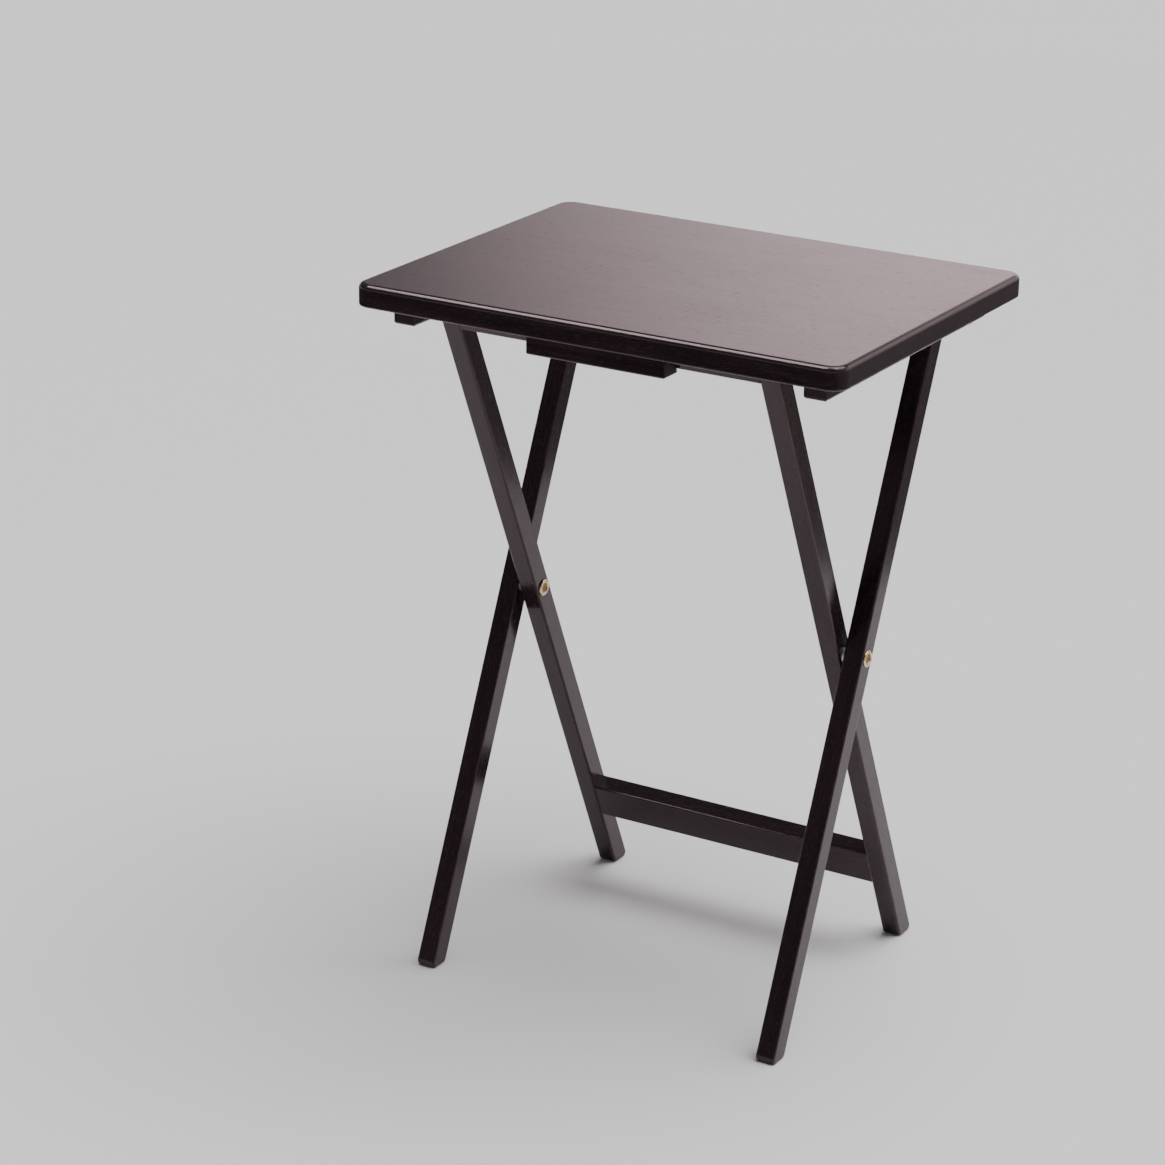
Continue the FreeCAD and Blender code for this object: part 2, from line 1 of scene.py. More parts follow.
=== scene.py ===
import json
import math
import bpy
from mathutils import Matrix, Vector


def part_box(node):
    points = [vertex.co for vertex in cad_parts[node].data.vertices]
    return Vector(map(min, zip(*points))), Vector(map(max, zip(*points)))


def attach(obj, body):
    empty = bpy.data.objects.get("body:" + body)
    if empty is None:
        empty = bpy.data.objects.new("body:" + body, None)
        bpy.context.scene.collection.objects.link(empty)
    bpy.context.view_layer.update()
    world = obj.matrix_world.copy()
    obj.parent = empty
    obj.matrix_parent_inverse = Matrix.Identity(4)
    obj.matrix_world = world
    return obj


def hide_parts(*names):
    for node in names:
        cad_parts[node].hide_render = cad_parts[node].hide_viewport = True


bl_info = {
    "name": "Folding Tray Table",
    "version": (1, 0, 0),
    "blender": (4, 5, 0),
    "location": "3D View > Sidebar > Tray Table",
    "description": "Finishes a folding tray table in dark lacquered wood with brass caps",
    "category": "Object",
}

import bpy
from bpy.props import (
    FloatProperty,
    FloatVectorProperty,
    IntProperty,
    PointerProperty,
)
from bpy.types import Operator, Panel, PropertyGroup
from mathutils import Matrix, Vector

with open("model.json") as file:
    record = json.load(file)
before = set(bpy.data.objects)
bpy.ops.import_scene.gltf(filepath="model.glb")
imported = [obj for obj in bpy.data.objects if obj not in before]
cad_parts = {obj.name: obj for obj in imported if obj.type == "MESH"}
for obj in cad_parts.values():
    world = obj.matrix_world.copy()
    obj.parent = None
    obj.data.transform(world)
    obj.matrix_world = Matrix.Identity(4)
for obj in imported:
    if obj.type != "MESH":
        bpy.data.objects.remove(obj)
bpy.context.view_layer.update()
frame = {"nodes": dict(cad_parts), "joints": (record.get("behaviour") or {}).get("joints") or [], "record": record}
MM = 0.001
SIDES = (("left", -1), ("right", 1))
JOINTS = {joint["name"]: joint for joint in frame["joints"]}
MOUNTS = {mount["name"]: mount for mount in frame["record"]["mounts"]}
BODY_OF = {
    node: body
    for body, nodes in frame["record"]["behaviour"]["bodies"].items()
    for node in nodes
}

CROSSING = Vector(JOINTS["frame_fold"]["pos_m"])
HINGE = Vector(JOINTS["tray_tilt"]["pos_m"])
ALONG_X = Vector((1, 0, 0))
ALONG_Y = Vector((0, 1, 0))


def leg_direction(foot):
    """From a foot's middle up to the crossing, seen from the side."""
    run = CROSSING - Vector(MOUNTS[foot]["pos_m"])
    return Vector((0, run.y, run.z)).normalized()


OUTER_UP = leg_direction("front_left_foot")
INNER_UP = leg_direction("rear_left_foot")

# The wooden pieces, with the way the grain runs and a way across the grain.
WOOD = {
    "tray_panel": (ALONG_X, ALONG_Y),
    "front_batten": (ALONG_X, ALONG_Y),
    "left_cleat": (ALONG_Y, ALONG_X),
    "right_cleat": (ALONG_Y, ALONG_X),
    "left_outer_leg": (OUTER_UP, ALONG_X),
    "right_outer_leg": (OUTER_UP, ALONG_X),
    "hinge_rod": (ALONG_X, ALONG_Y),
    "left_inner_leg": (INNER_UP, ALONG_X),
    "right_inner_leg": (INNER_UP, ALONG_X),
    "top_rail": (ALONG_X, INNER_UP),
    "low_stretcher": (ALONG_X, INNER_UP),
}


# ------------------------------------------------------------------ settings


def colour(name, text, default):
    return FloatVectorProperty(
        name=name, description=text, subtype="COLOR", size=3, default=default, min=0, max=1
    )


def length(name, text, default):
    return FloatProperty(
        name=name, description=text, subtype="DISTANCE", default=default, min=0
    )


def share(name, text, default):
    return FloatProperty(
        name=name, description=text, subtype="FACTOR", default=default, min=0, max=1
    )


class WoodFinish(PropertyGroup):
    stain: colour("Stain", "Colour of the dark stain", (0.0085, 0.0056, 0.0072))
    undertone: colour(
        "Undertone", "Colour where the wood shows through the stain", (0.025, 0.0135, 0.0145)
    )
    worn: colour("Worn edge", "Colour of the rubbed edges", (0.075, 0.040, 0.028))
    gloss_tint: colour("Gloss tint", "Colour of the lacquer's reflections", (1.0, 0.76, 0.82))
    gloss_roughness: share("Roughness", "Roughness of the satin lacquer", 0.14)
    pore_roughness: share("Pore roughness", "Roughness inside the open pores", 0.55)
    pore_width: length("Pore width", "Width of an open pore", 0.36 * MM)
    pore_length: length("Pore length", "Length of an open pore", 8 * MM)
    streak_width: length("Streak width", "Width of a streak in the stain", 3.2 * MM)
    streak_length: length("Streak length", "Length of a streak in the stain", 140 * MM)
    ring_width: length("Ring width", "Distance between growth rings", 7 * MM)
    wear_width: length("Wear width", "How far the wear reaches from an edge", 1.6 * MM)
    dowel_dark: colour("Dowel's dark grain", "Darker colour of a dowel", (0.50, 0.34, 0.20))
    dowel_pale: colour("Dowel's pale grain", "Paler colour of a dowel", (0.68, 0.50, 0.32))
    dowel_grain: length("Dowel's grain", "How deep the grain of a dowel is", 0.1 * MM)
    grain_depth: length("Grain depth", "How deep the grain is in the lacquer", 0.022 * MM)


class MetalFinish(PropertyGroup):
    brass: colour("Brass", "Colour of the polished brass", (0.80, 0.63, 0.36))
    tarnish: colour("Tarnish", "Colour of the tarnished brass", (0.27, 0.16, 0.075))
    sunk_radius: length("Sunk radius", "Radius of a cap's sunk and dulled middle", 5.0 * MM)
    zinc: colour("Zinc", "Colour of the zinc plating", (0.56, 0.57, 0.58))
    dull_zinc: colour("Dull zinc", "Colour of the dulled plating", (0.36, 0.36, 0.37))
    brass_roughness: share("Brass roughness", "Roughness of the brass", 0.18)
    zinc_roughness: share("Zinc roughness", "Roughness of the plating", 0.34)
    brass_scratch: length("Brass scratches", "Depth of the scratches in brass", 0.03 * MM)
    zinc_scratch: length("Zinc scratches", "Depth of the scratches in the plating", 0.05 * MM)


class Hardware(PropertyGroup):
    segments: IntProperty(
        name="Segments", description="Sides of a turned piece", default=72, min=12
    )
    screw_segments: IntProperty(
        name="Screw segments", description="Sides of a wood screw", default=40, min=12
    )
    cap_thick: length("Cap thickness", "Thickness of a crossing cap", 1.5 * MM)
    head_thick: length("Head thickness", "Thickness of a hinge bolt's head", 2.6 * MM)
    barrel_radius: length("Barrel radius", "Radius of the crossing barrel", 4 * MM)
    stud_radius: length("Stud radius", "Radius of the crossing stud", 2.5 * MM)
    screw_radius: length("Screw radius", "Radius of a wood screw's shank", 2 * MM)
    screw_head: length("Screw head", "Radius of a wood screw's head", 3.95 * MM)
    screw_head_deep: length("Screw head depth", "Depth of a wood screw's head", 2 * MM)
    bolt_radius: length("Bolt radius", "Radius of a hinge bolt's shank", 3 * MM)
    socket_width: length("Socket width", "Across the flats of a hex socket", 4 * MM)
    socket_deep: length("Socket depth", "Depth of a hex socket", 2 * MM)


class Studio(PropertyGroup):
    azimuth: FloatProperty(
        name="Azimuth",
        description="Where the camera stands, round from the front towards the right",
        subtype="ANGLE",
        default=math.radians(30.79),
    )
    elevation: FloatProperty(
        name="Elevation",
        description="How far down the camera looks",
        subtype="ANGLE",
        default=math.radians(20.18),
    )
    roll: FloatProperty(
        name="Roll",
        description="Turn of the camera about its own line of sight",
        subtype="ANGLE",
        default=math.radians(0.7),
    )
    distance: length("Distance", "From the camera to the point it looks at", 3.284)
    aim: FloatVectorProperty(
        name="Aim",
        description="The point that the camera looks at",
        subtype="TRANSLATION",
        default=(-0.0871, -0.0367, 0.3656),
    )
    lens: FloatProperty(
        name="Lens", description="Focal length in millimetres", default=110.46, min=1
    )
    floor: colour("Floor", "Colour of the floor", (0.86, 0.86, 0.86))
    floor_size: length("Floor size", "Side of the floor", 60.0)
    surround_inner: length("Surround inside", "Inner radius of the dark surround", 1.25)
    surround_outer: length("Surround outside", "Outer radius of the dark surround", 9.0)
    surround_height: length("Surround height", "Of the surround above the floor", 3 * MM)
    # Darker and paler colours of the painted shade ring, which only the lacquer's reflections show.
    painted_shade_dark: colour("Surround dark", "Darker colour of the cloth", (0.02, 0.02, 0.02))
    painted_shade_pale: colour("Surround pale", "Paler colour of the cloth", (0.03, 0.03, 0.03))
    ceiling_strength: FloatProperty(
        name="Ceiling", description="Strength of the ceiling's light", default=3.5, min=0
    )
    ceiling_spread: FloatProperty(
        name="Ceiling spread",
        description="How wide the ceiling's light is",
        subtype="ANGLE",
        default=math.radians(60),
    )


# ------------------------------------------------------------------ shader building


class Wire:
    """A node's output, on which Python's operators add Math nodes."""

    def __init__(self, graph, socket):
        self.graph = graph
        self.socket = socket

    def math(self, operation, *values, clamp=False):
        settings = {"operation": operation, "use_clamp": clamp}
        return self.graph.node("ShaderNodeMath", settings, dict(enumerate(values)))["Value"]

    def __add__(self, other):
        return self.math("ADD", self, other)

    __radd__ = __add__

    def __sub__(self, other):
        return self.math("SUBTRACT", self, other)

    def __rsub__(self, other):
        return self.math("SUBTRACT", other, self)

    def __mul__(self, other):
        return self.math("MULTIPLY", self, other)

    __rmul__ = __mul__

    def __truediv__(self, other):
        return self.math("DIVIDE", self, other)

    def __abs__(self):
        return self.math("ABSOLUTE", self)

    def __pow__(self, power):
        return self.math("POWER", self, power)

    def sine(self):
        return self.math("SINE", self)

    def larger(self, other):
        return self.math("MAXIMUM", self, other)

    def smaller(self, other):
        return self.math("MINIMUM", self, other)

    def between(self, low, high):
        """0 below low, 1 above high, and a smooth rise from one to the other."""
        sockets = {"Value": self, "From Min": low, "From Max": high}
        made = self.graph.node(
            "ShaderNodeMapRange", {"interpolation_type": "SMOOTHSTEP"}, sockets
        )
        return made["Result"]


class Graph:
    """The node tree of a material or a world while it is built."""

    def __init__(self, owner):
        owner.use_nodes = True
        self.tree = owner.node_tree
        self.tree.nodes.clear()

    def node(self, kind, settings=None, sockets=None):
        """Adds a node, sets it up and links it. Gives its outputs by name."""
        made = self.tree.nodes.new(kind)
        for name, value in (settings or {}).items():
            if name == "stops":
                for stop, (place, tint) in zip(made.color_ramp.elements, value):
                    stop.position = place
                    stop.color = (*tint, 1)
            else:
                setattr(made, name, value)
        for name, value in (sockets or {}).items():
            if isinstance(value, Wire):
                self.tree.links.new(value.socket, made.inputs[name])
            else:
                made.inputs[name].default_value = value
        return {output.name: Wire(self, output) for output in made.outputs if output.enabled}

    def noise(self, vector, detail=2.0, roughness=0.5, distortion=0.0):
        sockets = {
            "Vector": vector,
            "Scale": 1.0,
            "Detail": detail,
            "Roughness": roughness,
            "Distortion": distortion,
        }
        return self.node("ShaderNodeTexNoise", {"noise_dimensions": "3D"}, sockets)["Fac"]

    def stretched(self, vector, *widths):
        """The vector divided by a feature's size along each axis."""
        scale = [1 / width for width in widths]
        settings = {"operation": "MULTIPLY"}
        return self.node("ShaderNodeVectorMath", settings, {0: vector, 1: scale})["Vector"]

    def mix(self, factor, first, second):
        """A colour between two colours, each a wire or three numbers."""
        first, second = (
            tint if isinstance(tint, Wire) else (*tint, 1) for tint in (first, second)
        )
        sockets = {0: factor, 6: first, 7: second}
        return self.node("ShaderNodeMix", {"data_type": "RGBA"}, sockets)["Result"]

    def bump(self, height, strength, depth):
        sockets = {"Height": height, "Strength": strength, "Distance": depth}
        return self.node("ShaderNodeBump", None, sockets)["Normal"]

    def surface(self, sockets):
        """Ends a material with one shader of these sockets."""
        shader = self.node("ShaderNodeBsdfPrincipled", None, sockets)["BSDF"]
        self.node("ShaderNodeOutputMaterial", None, {"Surface": shader})


def tinted(value):
    """A colour setting as a shader socket takes it."""
    return (*value, 1)


def new_graph(name):
    material = bpy.data.materials.new(name)
    return material, Graph(material)


# How large the features of the finishes are along each axis. In wood the first axis is
# the grain's.
PORE_CLUSTER = (60 * MM, 9 * MM, 9 * MM)
STAIN_PATCH = (220 * MM, 45 * MM, 45 * MM)
BOARD_BEND = (300 * MM, 60 * MM, 60 * MM)
RUBBED_SPOT = (14 * MM, 5 * MM, 5 * MM)
SMUDGE = (90 * MM, 40 * MM, 40 * MM)
WOOD_FIBRE = (16 * MM, 0.8 * MM, 0.8 * MM)
DOWEL_FIBRE = (40 * MM, 0.7 * MM, 0.7 * MM)
METAL_CLOUD = (4 * MM, 4 * MM, 4 * MM)
METAL_SCRATCH = (3 * MM, 0.25 * MM, 1.1 * MM)
# Size of the mottle in the painted shade ring that the lacquer mirrors.
PAINTED_SHADE_MOTTLE = (0.02, 0.02, 0.02)
FLOOR_MOTTLE = (0.9, 0.9, 0.9)

# The board: how far apart in it the pieces are cut, how deep below a piece the heart of
# its growth rings lies, and how far the rings bend down and aside.
BOARD_STEP = (0.37, 0.11, 0.05)
HEART_DEEP = 38 * MM
BEND_DOWN = 26 * MM
BEND_ASIDE = 44 * MM

LACQUER_IOR = 1.5


def own_frame(node, along, across):
    """A piece's own axes, its middle and half its size along them."""
    third = along.cross(across).normalized()
    axes = Matrix((along, across, third)).transposed()
    inward = axes.transposed()
    spots = [inward @ vertex.co for vertex in frame["nodes"][node].data.vertices]
    low = Vector(min(spot[i] for spot in spots) for i in range(3))
    high = Vector(max(spot[i] for spot in spots) for i in range(3))
    return axes, axes @ ((low + high) / 2), (high - low) / 2


def growth_rings(graph, board, aside, deep, finish):
    """Rings round a heart that lies below the board, bent a little along it."""
    bend = graph.noise(graph.stretched(board, *BOARD_BEND), 1.0)
    down = deep + HEART_DEEP + BEND_DOWN * bend
    across = aside + BEND_ASIDE * (bend - 0.5)
    radius = (down * down + across * across) ** 0.5
    rings = (radius * (2 * math.pi / finish.ring_width)).sine()
    return (0.5 + 0.5 * rings).between(0.35, 1.0)


def edge_wear(graph, board, spot, half, finish):
    """Rubbed spots on the arrises. Where two faces meet, two of the distances to a face
    are small, so the middle one of the three is small there and nowhere else."""
    to_end = half.x - abs(spot["X"])
    to_side = half.y - abs(spot["Y"])
    to_face = half.z - abs(spot["Z"])
    arris = to_side.larger(to_face).smaller(to_end.larger(to_face.smaller(to_side)))
    rub = graph.noise(graph.stretched(board, *RUBBED_SPOT), 3.0, 0.65)
    return (1 - (arris / finish.wear_width).between(0.2, 1.0)) * rub.between(0.44, 0.70)


def open_pores(graph, board, finish):
    """Short dark pores along the grain, in clusters."""
    pore = (finish.pore_length, finish.pore_width, finish.pore_width)
    noise = graph.noise(graph.stretched(board, *pore), 1.0, 0.4)
    cluster = graph.noise(graph.stretched(board, *PORE_CLUSTER), 2.0)
    return (noise + 0.20 * cluster).between(0.74, 0.84)


def wood_material(node, finish, number):
    """Stained open-grained wood under satin lacquer, with its grain along the piece."""
    along, across = WOOD[node]
    axes, middle, half = own_frame(node, along, across)
    material, graph = new_graph(f"{node}_lacquered_wood")
    place = graph.node("ShaderNodeTexCoord")
    sockets = {
        "Vector": place["Object"],
        "Location": middle,
        "Rotation": axes.to_euler(),
    }
    own = graph.node("ShaderNodeMapping", {"vector_type": "TEXTURE"}, sockets)["Vector"]

    # Each piece is cut from another place in the board.
    shift = {0: own, 1: [number * step for step in BOARD_STEP]}
    board = graph.node("ShaderNodeVectorMath", {"operation": "ADD"}, shift)["Vector"]

    spot = graph.node("ShaderNodeSeparateXYZ", None, {"Vector": own})
    pores = open_pores(graph, board, finish)
    wear = edge_wear(graph, board, spot, half, finish)
    rings = growth_rings(graph, board, spot["Y"], spot["Z"] + half.z, finish)
    streak = (finish.streak_length, finish.streak_width, finish.streak_width)
    streaks = graph.noise(graph.stretched(board, *streak), 3.0, 0.6)
    patches = graph.noise(graph.stretched(board, *STAIN_PATCH), 1.0)

    # End grain drinks more stain.
    facing = {0: place["Normal"], 1: along}
    dot = graph.node("ShaderNodeVectorMath", {"operation": "DOT_PRODUCT"}, facing)["Value"]
    end_grain = abs(dot).between(0.62, 0.80)

    figure = 0.42 * streaks.between(0.42, 0.72) + 0.30 * rings + 0.28 * patches.between(0.4, 0.7)
    stained = graph.mix(figure * (1 - 0.7 * end_grain), finish.stain, finish.undertone)
    in_pores = [0.35 * channel for channel in finish.stain]
    with_pores = graph.mix(0.75 * pores, stained, in_pores)
    base = graph.mix(0.5 * wear, with_pores, finish.worn)

    smudges = graph.noise(graph.stretched(board, *SMUDGE), 3.0, 0.6).between(0.35, 0.75)
    faces = finish.gloss_roughness + 0.05 * smudges + 0.10 * wear + 0.2 * end_grain
    rough = faces + (finish.pore_roughness - finish.gloss_roughness) * pores

    fibres = graph.noise(graph.stretched(board, *WOOD_FIBRE), 2.0, 0.6)
    graph.surface(
        {
            "Base Color": base,
            "Roughness": rough,
            "Normal": graph.bump(0.45 * fibres - 0.9 * pores, 0.45, finish.grain_depth),
            "IOR": LACQUER_IOR,
            "Specular Tint": tinted(finish.gloss_tint),
        }
    )
    return material


def dowel_material(finish):
    """Bare pale hardwood."""
    material, graph = new_graph("bare_dowel_wood")
    place = graph.node("ShaderNodeTexCoord")["Object"]
    fibres = graph.noise(graph.stretched(place, *DOWEL_FIBRE), 3.0, 0.6)
    base = graph.mix(fibres.between(0.35, 0.7), finish.dowel_dark, finish.dowel_pale)
    bump = graph.bump(fibres, 1.0, finish.dowel_grain)
    graph.surface({"Base Color": base, "Roughness": 0.6 + 0.2 * fibres, "Normal": bump})
    return material


def metal_material(name, bright, dull, roughness, scratch_depth, sunk=None):
    """Turned metal with fine scratches, dulled in patches. Where sunk gives an axis and a
    radius, it is dulled within them too, as in the sunk middle of a cap."""
    material, graph = new_graph(name)
    place = graph.node("ShaderNodeTexCoord")["Object"]
    cloud = graph.noise(graph.stretched(place, *METAL_CLOUD), 4.0, 0.65)
    scratch = graph.noise(graph.stretched(place, *METAL_SCRATCH), 2.0, 0.6, 0.6)
    dulled = 0.65 * cloud.between(0.46, 0.72)
    if sunk:
        centre, radius = sunk
        split = graph.node("ShaderNodeSeparateXYZ", None, {"Vector": place})
        up, out = split["Z"] - centre.z, split["Y"] - centre.y
        from_axis = (up * up + out * out) ** 0.5
        dulled = dulled.larger(0.9 - 0.9 * from_axis.between(0.82 * radius, 1.05 * radius))
    graph.surface(
        {
            "Base Color": graph.mix(dulled, bright, dull),
            "Roughness": roughness + 0.3 * dulled + 0.12 * scratch.between(0.5, 0.8),
            "Normal": graph.bump(0.7 * scratch + 0.3 * cloud, 0.35, scratch_depth),
            "Metallic": 1.0,
        }
    )
    return material


def brass_material(finish):
    return metal_material(
        "polished_brass",
        finish.brass,
        finish.tarnish,
        finish.brass_roughness,
        finish.brass_scratch,
        sunk=(CROSSING, finish.sunk_radius),
    )


def zinc_material(finish):
    return metal_material(
        "zinc_plated_steel",
        finish.zinc,
        finish.dull_zinc,
        finish.zinc_roughness,
        finish.zinc_scratch,
    )


def finish_with(piece, material):
    piece.data.materials.clear()
    piece.data.materials.append(material)


def material_called(name, make, *settings):
    """A material that several pieces share, made when it is first asked for."""
    found = bpy.data.materials.get(name)
    return found or make(*settings)


# ------------------------------------------------------------------ modelling


def deselect_all():
    if bpy.context.object and bpy.context.object.mode != "OBJECT":
        bpy.ops.object.mode_set(mode="OBJECT")
    bpy.ops.object.select_all(action="DESELECT")


def turned_piece(name, profile, segments):
    """Turns a closed piece about Z, by extruding a disc from one (height, radius) of the
    profile to the next."""
    deselect_all()
    height, radius = profile[0]
    bpy.ops.mesh.primitive_circle_add(
        vertices=segments, radius=radius, fill_type="NGON", location=(0, 0, 0)
    )
    piece = bpy.context.object
    piece.name = name
    piece.data.name = name
    bpy.ops.object.mode_set(mode="EDIT")
    bpy.ops.mesh.select_all(action="SELECT")
    bpy.ops.transform.translate(value=(0, 0, height))
    for next_height, next_radius in profile[1:]:
        rise = (0, 0, next_height - height)
        bpy.ops.mesh.extrude_region_move(TRANSFORM_OT_translate={"value": rise})
        scale = next_radius / radius
        bpy.ops.transform.resize(
            value=(scale, scale, 1), center_override=(0, 0, next_height)
        )
        height, radius = next_height, next_radius
    bpy.ops.mesh.select_all(action="SELECT")
    bpy.ops.mesh.normals_make_consistent(inside=False)
    bpy.ops.object.mode_set(mode="OBJECT")
    return piece


def apply_modifier(piece, kind, **settings):
    deselect_all()
    piece.select_set(True)
    bpy.context.view_layer.objects.active = piece
    modifier = piece.modifiers.new(kind.title(), kind)
    for name, value in settings.items():
        setattr(modifier, name, value)
    bpy.ops.object.modifier_apply(modifier=modifier.name)


def soften(piece, width, segments=3):
    """Rounds the sharp edges and shades the piece smooth."""
    apply_modifier(
        piece,
        "BEVEL",
        width=width,
        segments=segments,
        limit_method="ANGLE",
        angle_limit=math.radians(35),
        use_clamp_overlap=True,
    )
    bpy.ops.object.shade_smooth_by_angle(angle=math.radians(40))


def cut_away(piece, cutter):
    apply_modifier(piece, "BOOLEAN", object=cutter, operation="DIFFERENCE", solver="EXACT")
    bpy.data.objects.remove(cutter)


def settle(piece, axes, origin):
    """Turns and moves a piece to its place, and puts the place into its mesh."""
    deselect_all()
    piece.matrix_world = Matrix.Translation(origin) @ axes.to_4x4()
    piece.select_set(True)
    bpy.context.view_layer.objects.active = piece
    bpy.ops.object.transform_apply(location=True, rotation=True, scale=True)
    return piece


def copy_of(piece, name):
    made = piece.copy()
    made.data = piece.data.copy()
    made.name = name
    made.data.name = name
    bpy.context.scene.collection.objects.link(made)
    return made


def pointing(direction):
    """Axes whose Z points in a direction."""
    return direction.to_track_quat("Z", "Y").to_matrix()


def stand_for(piece, node):
    """The piece takes a node's place on its body, and the node is hidden."""
    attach(piece, BODY_OF[node])
    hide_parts(node)


# ------------------------------------------------------------------ operators


class TRAYTABLE_OT_wood(Operator):
    """Give every wooden piece its stained and lacquered finish"""

    bl_idname = "traytable.wood"
    bl_label = "Finish Wood"

    def execute(self, context):
        finish = context.scene.tray_wood
        for number, node in enumerate(WOOD, start=1):
            finish_with(frame["nodes"][node], wood_material(node, finish, number))
        return {"FINISHED"}


class TRAYTABLE_OT_dowels(Operator):
    """Give the dowels inside the joints their bare wood"""

    bl_idname = "traytable.dowels"
    bl_label = "Finish Dowels"

    def execute(self, context):
        material = dowel_material(context.scene.tray_wood)
        for node in ("top_rail_dowels", "stretcher_dowels"):
            finish_with(frame["nodes"][node], material)
        return {"FINISHED"}


class TRAYTABLE_OT_washers(Operator):
    """Give the washers and threaded inserts their plating"""

    bl_idname = "traytable.washers"
    bl_label = "Finish Washers"

    def execute(self, context):
        finish = context.scene.tray_metal
        material = material_called("zinc_plated_steel", zinc_material, finish)
        for side, _ in SIDES:
            for kind in ("crossing_washer", "hinge_washer", "hinge_insert"):
                finish_with(frame["nodes"][f"{side}_{kind}"], material)
        return {"FINISHED"}


def blunt_shank(radius, length, blunt):
    """A plain round shank from its blunt tip up to the head."""
    return [(0, radius - blunt), (blunt, radius), (length, radius)]


def cap_profile(face, radius, thick):
    """A cap with a rolled rim, a groove and a dimpled centre, above a leg's face. Each step
    is a height as a share of the thickness, and how many mm inside the rim it lies."""
    steps = (
        (0.0, 0.45),
        (0.12, 0.08),
        (0.35, 0.0),
        (0.62, 0.22),
        (0.84, 0.7),
        (0.97, 1.4),
        (1.0, 2.1),
        (0.94, 2.7),
        (0.72, 3.1),
        (0.30, 3.3),
        (0.22, 3.6),
        (0.26, 4.1),
        (0.42, 4.9),
        (0.52, 5.6),
        (0.50, 6.2),
        (0.34, 6.6),
        (0.10, 6.85),
        (0.05, 7.25),
    )
    return [(face + rise * thick, radius - inward * MM) for rise, inward in steps]


class TRAYTABLE_OT_crossing_bolts(Operator):
    """Model the brass barrels and caps at the legs' crossing"""

    bl_idname = "traytable.crossing_bolts"
    bl_label = "Model Crossing Bolts"

    def execute(self, context):
        hardware = context.scene.tray_hardware
        finish = context.scene.tray_metal
        brass = material_called("polished_brass", brass_material, finish)
        for side, sign in SIDES:
            for kind, outward, shank in (
                ("crossing_barrel", sign, hardware.barrel_radius),
                ("crossing_cap", -sign, hardware.stud_radius),
            ):
                node = f"{side}_{kind}"
                low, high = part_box(node)
                face = high.x - low.x - hardware.cap_thick
                profile = blunt_shank(shank, face, 0.4 * MM)
                radius = (high.z - low.z) / 2
                profile += cap_profile(face, radius, hardware.cap_thick)
                piece = turned_piece(f"{side}_brass_{kind}", profile, hardware.segments)
                soften(piece, 0.12 * MM)
                tip = Vector((low.x if outward > 0 else high.x, CROSSING.y, CROSSING.z))
                settle(piece, pointing(outward * ALONG_X), tip)
                finish_with(piece, brass)
                stand_for(piece, node)
        return {"FINISHED"}


DOME_STEPS = 6


def domed_head_profile(face, top, radius):
    """A head with an eased lower edge, a short upright band and a dome above it."""
    eased, band = 0.2 * MM, 0.5 * MM
    dome = top - face - band
    profile = [(face, radius - eased), (face + band, radius)]
    for step in range(1, DOME_STEPS):
        turn = math.radians(90 * step / DOME_STEPS)
        rise = band + dome * math.sin(turn)
        profile.append((face + rise, radius * (0.45 + 0.55 * math.cos(turn))))
    return profile + [(top, radius * 0.40)]


class TRAYTABLE_OT_hinge_bolts(Operator):
    """Model the hinge bolts with their domed heads and hex sockets"""

    bl_idname = "traytable.hinge_bolts"
    bl_label = "Model Hinge Bolts"

    def execute(self, context):
        hardware = context.scene.tray_hardware
        finish = context.scene.tray_metal
        zinc = material_called("zinc_plated_steel", zinc_material, finish)
        for side, sign in SIDES:
            node = f"{side}_hinge_bolt"
            low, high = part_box(node)
            radius = (high.z - low.z) / 2
            top = high.x - low.x
            face = top - hardware.head_thick
            profile = blunt_shank(hardware.bolt_radius, face, 0.6 * MM)
            profile += domed_head_profile(face, top, radius)
            piece = turned_piece(f"{side}_zinc_hinge_bolt", profile, hardware.segments)
            deselect_all()
            bpy.ops.mesh.primitive_cylinder_add(
                vertices=6,
                radius=hardware.socket_width / math.sqrt(3),
                depth=2 * hardware.socket_deep,
                location=(0, 0, top),
            )
            cut_away(piece, bpy.context.object)
            soften(piece, 0.1 * MM)
            tip = Vector((low.x if sign > 0 else high.x, HINGE.y, HINGE.z))
            settle(piece, pointing(sign * ALONG_X), tip)
            finish_with(piece, zinc)
            stand_for(piece, node)
        return {"FINISHED"}


def wood_screw_profile(long, hardware):
    """A point, a thread as rings up to the plain shank, and a flat countersunk head."""
    shank, head = hardware.screw_radius, hardware.screw_head_deep
    core = 0.72 * shank
    point, pitch, flank, crest = 2.2 * MM, 1.5 * MM, 0.6 * MM, 0.15 * MM
    thread_top = -head - 6 * MM
    profile = [(-long, 0.15 * MM)]
    height = -long + point
    while height < thread_top:
        profile += [(height, core), (height + flank, shank), (height + flank + crest, shank)]
        height += pitch
    profile += [(height, core), (-head - 3 * MM, core), (-head - 2.4 * MM, shank)]
    rim = hardware.screw_head
    return profile + [(-head, shank), (-0.3 * MM, rim), (-0.1 * MM, rim), (0, rim - 0.15 * MM)]


def cross_blade(turn):
    """One blade of a cross-headed driver's tip, narrower at its lower end."""
    deselect_all()
    bpy.ops.mesh.primitive_cube_add(
        size=1, location=(0, 0, -0.2 * MM), rotation=(0, 0, math.radians(turn))
    )
    blade = bpy.context.object
    blade.scale = (4.4 * MM, 0.9 * MM, 2.8 * MM)
    bpy.ops.object.transform_apply(location=False, rotation=False, scale=True)
    bpy.ops.object.mode_set(mode="EDIT")
    bpy.ops.mesh.select_all(action="DESELECT")
    bpy.ops.object.mode_set(mode="OBJECT")
    for vertex in blade.data.vertices:
        vertex.select = vertex.co.z < 0
    bpy.ops.object.mode_set(mode="EDIT")
    bpy.ops.transform.resize(value=(0.45, 0.7, 1), center_override=(0, 0, 0))
    bpy.ops.object.mode_set(mode="OBJECT")
    return blade


